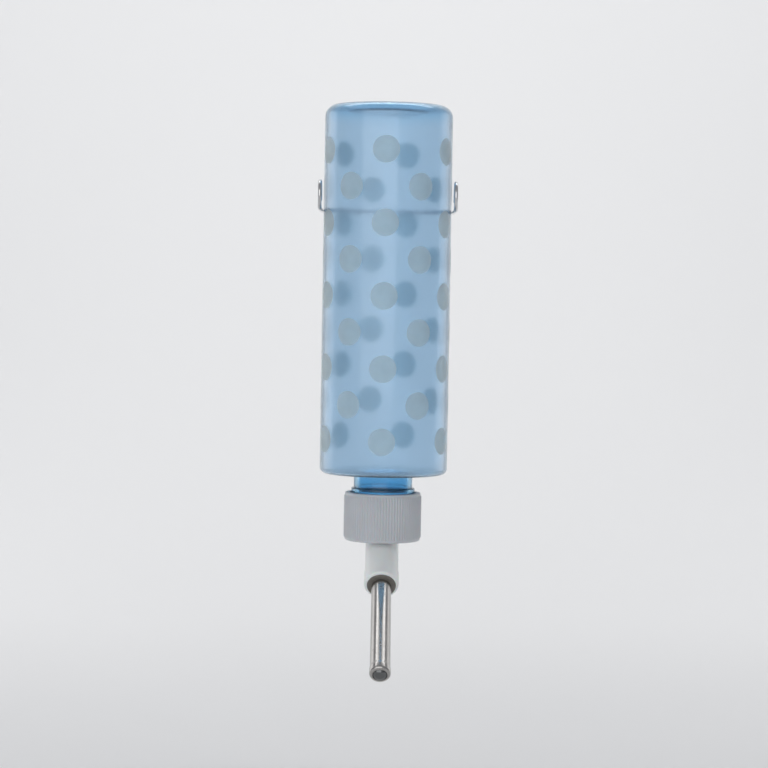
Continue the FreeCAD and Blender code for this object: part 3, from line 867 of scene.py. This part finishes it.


# The cap's grey-blue colour is painted shade, darker than its white plastic really is.
cap_plastic_painted_shade = white_plastic("white_cap_in_painted_shade", (0.57, 0.60, 0.635), 0.35, 0.5)
nozzle_plastic = white_plastic("white_nozzle_plastic", (0.86, 0.88, 0.87), 0.3, 0.45)
nodes = frame["nodes"]
dress([cap_piece], cap_plastic_painted_shade)
dress([nodes["nozzle_elbow"]], nozzle_plastic)

# %% [markdown]
# ### Steel
# The tube is drawn through a die, which leaves faint lines along it. They are a noise stretched
# along the tube: a Mapping node turns the pattern to the spout's direction first. The wire is
# nickel-plated, so it is brighter and smoother. The balls are polished and smoother still. Polished
# steel looks as dark as what it reflects, and this stage is pale, so their colour is set dark.

# %% Drawn steel tube
STEEL = (0.46, 0.445, 0.43)
tube_steel, tree, shader = new_finish("drawn_tube_steel", STEEL, **{"Metallic": 1.0})
place = add_node(tree, "ShaderNodeTexCoord")
along_tube = add_node(tree, "ShaderNodeMapping", vector_type="TEXTURE")
along_tube.inputs["Location"].default_value = TURN
spout_turn = Vector((0, 0, 1)).rotation_difference(SPOUT_OUT)
along_tube.inputs["Rotation"].default_value = spout_turn.to_euler()
along_tube.inputs["Scale"].default_value = (1, 1, 60)
draw_lines = add_node(tree, "ShaderNodeTexNoise", Scale=2600.0, Detail=4.0)
tree.links.new(place.outputs["Object"], along_tube.inputs["Vector"])
tree.links.new(along_tube.outputs["Vector"], draw_lines.inputs["Vector"])
add_drift(tree, shader, STEEL, Cloud_Size=90.0, Darkest=0.9, Lightest=1.0)
add_smears(tree, shader, Clean_Roughness=0.2, Smeared_Roughness=0.32, Patch_Size=150.0)
add_bump(tree, shader, 0.01 * MM, draw_lines.outputs["Fac"])
dress([tube_piece], tube_steel)


# %% Plated wire and polished balls
def polished_metal(name, colour, clean, smeared):
    """Smooth metal with faint smears and a very slight unevenness."""
    material, tree, shader = new_finish(name, colour, **{"Metallic": 1.0})
    add_drift(tree, shader, colour, Cloud_Size=200.0, Darkest=0.88, Lightest=1.0)
    add_smears(tree, shader, Clean_Roughness=clean, Smeared_Roughness=smeared, Patch_Size=260.0)
    surface = place_group(tree, grain, Grain_Size=2200.0, Grain_Depth=0.2, Ripple_Size=350.0,
                          Ripple_Depth=0.3)
    add_bump(tree, shader, 0.01 * MM, surface.outputs["Height"])
    return material


wire_plating = polished_metal("nickel_wire", (0.66, 0.66, 0.67), 0.12, 0.25)
# The balls' dark colour is a painted dark reflection, standing in for darker surroundings than this
# pale stage.
ball_steel = polished_metal("ball_steel", (0.17, 0.175, 0.175), 0.05, 0.12)
dress([hanger], wire_plating)
dress([nodes["tip_ball"], nodes["back_ball"]], ball_steel)


# %% [markdown]
# ### Rubber and silicone
# The ring round the tube is dark grey rubber and the washer in the cap is pale silicone. Both are
# dull, with a fine bloom that leaves some patches paler than others.

# %% Rubber
def rubber(name, colour, clean, smeared):
    """Dull rubber with a patchy bloom."""
    material, tree, shader = new_finish(name, colour)
    add_drift(tree, shader, colour, Cloud_Size=400.0, Darkest=0.75, Lightest=1.0)
    add_smears(tree, shader, Clean_Roughness=clean, Smeared_Roughness=smeared, Patch_Size=300.0)
    surface = place_group(tree, grain, Grain_Size=3500.0, Grain_Depth=0.8, Ripple_Size=500.0,
                          Ripple_Depth=0.3)
    add_bump(tree, shader, 0.03 * MM, surface.outputs["Height"])
    return material


dress([nodes["tube_seal"]], rubber("grey_seal_rubber", (0.17, 0.158, 0.14), 0.45, 0.6))
dress([nodes["sealing_washer"]], rubber("pale_silicone", (0.62, 0.62, 0.58), 0.4, 0.55))

# %% [markdown]
# ## Light
# The bottle hangs in front of something bright, and much of the light that shows comes through it
# from behind. A wide soft light over the sweep makes the backdrop bright. A small weak light on
# each side, behind the bottle, draws a pale edge down it. A large soft light on the camera's side
# fills the near side, and keeps the white plastic from going grey.

# %% Studio light
world = bpy.data.worlds.new("studio")
bpy.context.scene.world = world
world.use_nodes = True
sky = world.node_tree.nodes["Background"]
sky.inputs["Color"].default_value = (0.93, 0.95, 1.0, 1)
sky.inputs["Strength"].default_value = 0.36


def soft_light(name, place, aim, width, height, watts):
    """A rectangular area light that looks at a point."""
    data = bpy.data.lights.new(name, "AREA")
    data.shape = "RECTANGLE"
    data.size = width
    data.size_y = height
    data.energy = watts
    light = bpy.data.objects.new(name, data)
    bpy.context.scene.collection.objects.link(light)
    light.location = place
    light.rotation_euler = (Vector(aim) - Vector(place)).to_track_quat("-Z", "Y").to_euler()
    print(name, "is at", tuple(round(c, 2) for c in place))
    return light


soft_light("backdrop_light", (0, 0.75, 1.3), (0, 1.4, -0.1), 2.0, 0.9, 12.5)
soft_light("left_light", (-0.75, 0.5, 0), (0, 0, -0.08), 0.5, 0.6, 0.8)
soft_light("right_light", (0.75, 0.5, 0), (0, 0, -0.08), 0.5, 0.6, 0.6)
soft_light("front_fill", (-0.4, -1.5, 0.3), (0, 0, -0.1), 2.0, 1.6, 11)

# %% Sweep finish
paper, tree, shader = new_finish("pale_paper", (0.84, 0.84, 0.84), **{"Roughness": 0.9})
dress([sweep], paper)
bpy.context.scene.view_settings.view_transform = "Standard"
